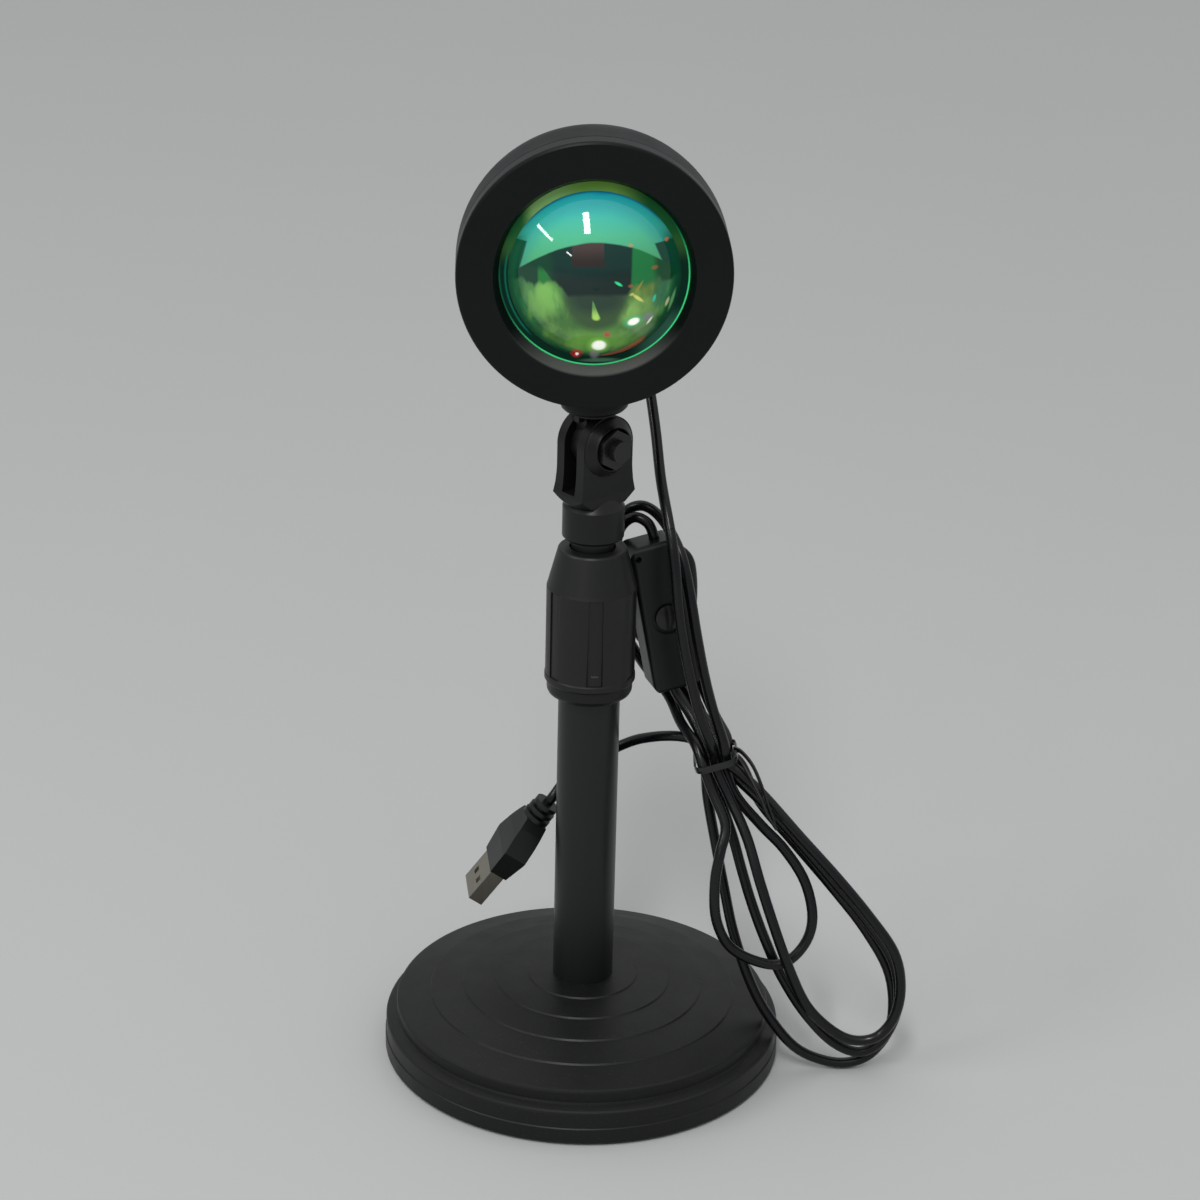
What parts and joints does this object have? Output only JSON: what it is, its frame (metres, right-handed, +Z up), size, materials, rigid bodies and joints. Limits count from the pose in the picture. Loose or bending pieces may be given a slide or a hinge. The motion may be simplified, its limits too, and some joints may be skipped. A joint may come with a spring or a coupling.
{
  "type": "sunset projection lamp",
  "caption": "Table projection lamp: domed weighted base, twist-lock pole, clevis joint, swivelling drum head with a domed lens, and a tied cord with a switch and plug.",
  "frame": {"origin": "on the table under the middle of the round base", "axes": "+Z up along the pole, -Y toward the viewer of the picture, +X to the viewer's right; the lens faces -Y"},
  "size_m": [0.1498, 0.1146, 0.2749],
  "materials": {
    "base_black": "satin",
    "weight_iron": "raw",
    "plate_black": "matt",
    "pad_foam": "matt",
    "zinc_steel": "satin",
    "black_screw": "satin",
    "pole_black": "satin",
    "joint_black": "satin",
    "grip_black": "fine grained",
    "bush_white": "satin",
    "head_black": "satin",
    "bezel_black": "semi gloss",
    "lens_glass": "clear with a green and cyan coating",
    "filter_glass": "coated",
    "seal_rubber": "matt",
    "board_white": "white coated",
    "chip_tan": "satin",
    "sink_aluminium": "satin",
    "gland_rubber": "satin",
    "switch_black": "satin",
    "button_black": "gloss",
    "board_green": "satin",
    "cord_black": "satin",
    "tie_black": "satin",
    "plug_black": "satin",
    "shell_steel": "satin",
    "tongue_white": "satin",
    "contact_gold": "polished"
  },
  "bodies": {
    "base_and_pole": {"base_shell": "base_black", "base_weight": "weight_iron", "base_plate": "plate_black", "base_pad": "pad_foam", "base_bolt": "zinc_steel", "bolt_washer": "zinc_steel", "tube_plug": "zinc_steel", "outer_tube": "pole_black", "clutch_body": "joint_black"},
    "grip": {"twist_grip": "grip_black"},
    "mast": {"inner_tube": "pole_black", "tube_bush": "bush_white", "mast_stud": "zinc_steel"},
    "clevis_with_cord": {"clevis": "joint_black", "pivot_bolt": "black_screw", "pivot_nut": "black_screw", "friction_washers": "bush_white", "switch_cover": "switch_black", "switch_base": "switch_black", "tact_switch": "joint_black", "switch_board": "board_green", "ir_receiver": "button_black", "switch_screws": "zinc_steel", "lead_middle": "cord_black", "lead_lower": "cord_black", "cord_hank": "cord_black", "cord_hank_tail": "cord_black", "plug_lead": "cord_black", "twist_tie": "tie_black", "plug_relief": "plug_black", "plug_body": "plug_black", "plug_shell": "shell_steel", "plug_tongue": "tongue_white", "plug_contacts": "contact_gold"},
    "knuckle": {"knuckle": "joint_black", "stem_nut": "zinc_steel", "lead_upper": "cord_black"},
    "head": {"head_shell": "head_black", "front_bezel": "bezel_black", "lens": "lens_glass", "lens_seal": "seal_rubber", "filter_disc": "filter_glass", "light_barrel": "head_black", "led_board": "board_white", "light_chip": "chip_tan", "heat_sink": "sink_aluminium", "sink_screws": "zinc_steel", "cord_gland": "gland_rubber"},
    "button": {"push_button": "button_black"}
  },
  "joints": [
    {"name": "grip_twist", "type": "hinge", "parent": "base_and_pole", "child": "grip", "pos_m": [0, 0, 0.13], "axis": [0, 0, 1], "range_deg": [0, 180]},
    {"name": "mast_slide", "type": "slide", "parent": "base_and_pole", "child": "mast", "axis": [0, 0, 1], "range_m": [0, 0.08]},
    {"name": "yoke_turn", "type": "hinge", "parent": "mast", "child": "clevis_with_cord", "pos_m": [0, 0, 0.165], "axis": [0, 0, 1], "range_deg": [-180, 180]},
    {"name": "head_tilt", "type": "hinge", "parent": "clevis_with_cord", "child": "knuckle", "pos_m": [0, 0, 0.1863], "axis": [0.6561, -0.7547, 0], "range_deg": [-70, 85], "deforming": ["lead_middle"]},
    {"name": "head_swivel", "type": "hinge", "parent": "knuckle", "child": "head", "pos_m": [0, 0, 0.1863], "axis": [-0.0362, -0.0315, 0.9988], "range_deg": [-90, 90], "deforming": ["lead_upper"]},
    {"name": "button_press", "type": "slide", "parent": "clevis_with_cord", "child": "button", "axis": [-0.2849, 0.9578, -0.039], "range_m": [0, 0.0008], "stiffness_N_per_m": 400}
  ]
}
